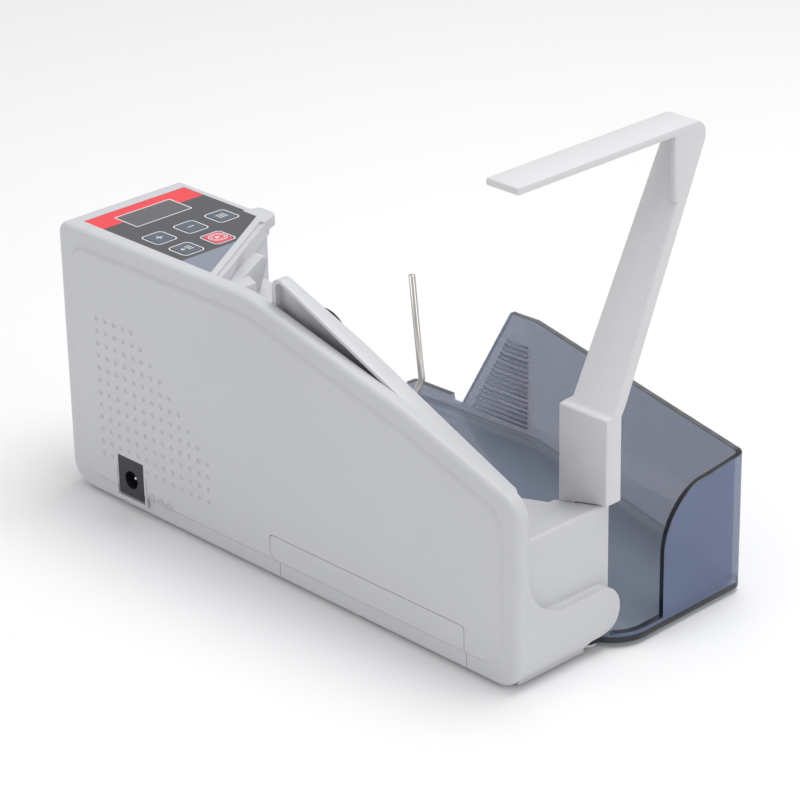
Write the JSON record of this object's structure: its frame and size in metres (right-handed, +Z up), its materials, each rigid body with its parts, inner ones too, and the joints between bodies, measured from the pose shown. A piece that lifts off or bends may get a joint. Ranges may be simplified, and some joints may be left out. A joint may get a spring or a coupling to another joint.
{
  "type": "banknote counting machine",
  "caption": "Portable wedge-shaped banknote counter with a sloping note hopper, folding support arm, wire guide, keypad head and swing-out translucent stacker tray.",
  "frame": {"origin": "on the desk, under the middle of the body's footprint without the tray", "axes": "+X towards the nose, +Y towards the stacker tray, +Z up"},
  "size_m": [0.2487, 0.1502, 0.181],
  "materials": {
    "shell_plastic": "fine spark-eroded texture, light cool grey ABS",
    "arm_plastic": "satin light grey ABS",
    "inner_plastic": "satin light grey ABS",
    "smoky_plastic": "clear smoke-blue polystyrene, polished",
    "panel_film": "printed charcoal polycarbonate film with red and lavender fields",
    "window_plastic": "dark clear window",
    "key_film": "printed grey key with light outline",
    "key_film_red": "printed red key with light rings",
    "rubber_black": "matt black rubber",
    "polished_steel": "polished",
    "nickel_contact": "nickel plated spring steel",
    "motor_steel": "zinc plated can",
    "black_plastic": "black moulded plastic",
    "white_plastic": "white acetal",
    "board": "green solder mask with printed tracks",
    "cell_wrap": "plain printed sleeve over a steel can",
    "pad_cork": "brown friction pad",
    "bush_bronze": "sintered bronze"
  },
  "bodies": {
    "machine_body": {"near_cover": "shell_plastic", "inner_frame": "inner_plastic", "main_housing": "shell_plastic", "base_plate": "shell_plastic", "base_screws": "polished_steel", "rubber_feet": "rubber_black", "nose_block": "shell_plastic", "battery_box": "black_plastic", "battery_cells": "cell_wrap", "battery_contacts": "nickel_contact", "dc_jack": "black_plastic", "dc_jack_pin": "nickel_contact", "buzzer": "black_plastic", "hopper_bed": "shell_plastic", "side_guide": "shell_plastic", "back_guide": "shell_plastic", "gate_bridge": "shell_plastic", "retard_pad": "pad_cork", "bushes": "bush_bronze", "pinch_shaft": "polished_steel", "motor_body": "motor_steel", "motor_mount": "inner_plastic", "count_sensor": "black_plastic", "head_bezel": "shell_plastic", "panel_label": "panel_film", "display_window": "window_plastic", "display_module": "black_plastic", "main_pcb": "board", "key_switches": "black_plastic", "arm_pin": "polished_steel", "tray_pin": "white_plastic", "drive_belt": "rubber_black", "transport_belt": "rubber_black"},
    "stacker_tray_body": {"stacker_tray": "smoky_plastic"},
    "support_arm_body": {"support_arm": "arm_plastic"},
    "wire_guide_body": {"wire_guide": "polished_steel"},
    "battery_door_body": {"battery_door": "shell_plastic"},
    "motor_rotor": {"motor_shaft": "polished_steel", "motor_pulley": "white_plastic"},
    "feed_roller": {"feed_shaft": "polished_steel", "feed_hubs": "white_plastic", "feed_tyres": "rubber_black", "feed_pulleys": "white_plastic"},
    "transport_roller": {"transport_shaft": "polished_steel", "transport_tyres": "rubber_black", "transport_pulley": "white_plastic"},
    "pinch_roller": {"pinch_rollers": "white_plastic"},
    "key_plus_body": {"key_plus": "key_film"},
    "key_minus_body": {"key_minus": "key_film"},
    "key_batch_body": {"key_batch": "key_film"},
    "key_add_body": {"key_add": "key_film"},
    "key_start_body": {"key_start": "key_film_red"}
  },
  "joints": [
    {"name": "tray_swing", "type": "hinge", "parent": "machine_body", "child": "stacker_tray_body", "pos_m": [0.113, 0.0195, 0.003], "axis": [0, 0, 1], "range_deg": [0, 20]},
    {"name": "arm_fold", "type": "hinge", "parent": "machine_body", "child": "support_arm_body", "pos_m": [0.1005, 0.0243, 0.046], "axis": [0, 1, 0], "range_deg": [-60, 0]},
    {"name": "wire_fold", "type": "hinge", "parent": "machine_body", "child": "wire_guide_body", "pos_m": [0.044, -0.005, 0.077], "axis": [0, 1, 0], "range_deg": [-60, 0]},
    {"name": "door_lift_off", "type": "slide", "parent": "machine_body", "child": "battery_door_body", "axis": [0, -1, 0], "range_m": [0, 0.04]},
    {"name": "feed_spin", "type": "hinge", "parent": "machine_body", "child": "feed_roller", "pos_m": [-0.008, -0.004, 0.085], "axis": [0, 1, 0], "continuous": true},
    {"name": "transport_spin", "type": "hinge", "parent": "machine_body", "child": "transport_roller", "pos_m": [0.04839, -0.004, 0.05942], "axis": [0, 1, 0], "continuous": true},
    {"name": "motor_spin", "type": "hinge", "parent": "machine_body", "child": "motor_rotor", "pos_m": [-0.048, -0.008, 0.06], "axis": [0, 1, 0], "continuous": true},
    {"name": "pinch_spin", "type": "hinge", "parent": "machine_body", "child": "pinch_roller", "pos_m": [0.05402, -0.0076, 0.07262], "axis": [0, 1, 0], "continuous": true},
    {"name": "key_plus_press", "type": "slide", "parent": "machine_body", "child": "key_plus_body", "axis": [0, 0, -1], "range_m": [0, 0.0005], "stiffness_N_per_m": 700, "springref_m": -0.0003},
    {"name": "key_minus_press", "type": "slide", "parent": "machine_body", "child": "key_minus_body", "axis": [0, 0, -1], "range_m": [0, 0.0005], "stiffness_N_per_m": 700, "springref_m": -0.0003},
    {"name": "key_batch_press", "type": "slide", "parent": "machine_body", "child": "key_batch_body", "axis": [0, 0, -1], "range_m": [0, 0.0005], "stiffness_N_per_m": 700, "springref_m": -0.0003},
    {"name": "key_add_press", "type": "slide", "parent": "machine_body", "child": "key_add_body", "axis": [0, 0, -1], "range_m": [0, 0.0005], "stiffness_N_per_m": 700, "springref_m": -0.0003},
    {"name": "key_start_press", "type": "slide", "parent": "machine_body", "child": "key_start_body", "axis": [0, 0, -1], "range_m": [0, 0.0005], "stiffness_N_per_m": 700, "springref_m": -0.0003}
  ],
  "couplings": [
    {"joint": "motor_spin", "follows": "feed_spin", "ratio": 1.4667},
    {"joint": "transport_spin", "follows": "feed_spin", "ratio": 1},
    {"joint": "pinch_spin", "follows": "feed_spin", "ratio": -2.5}
  ]
}
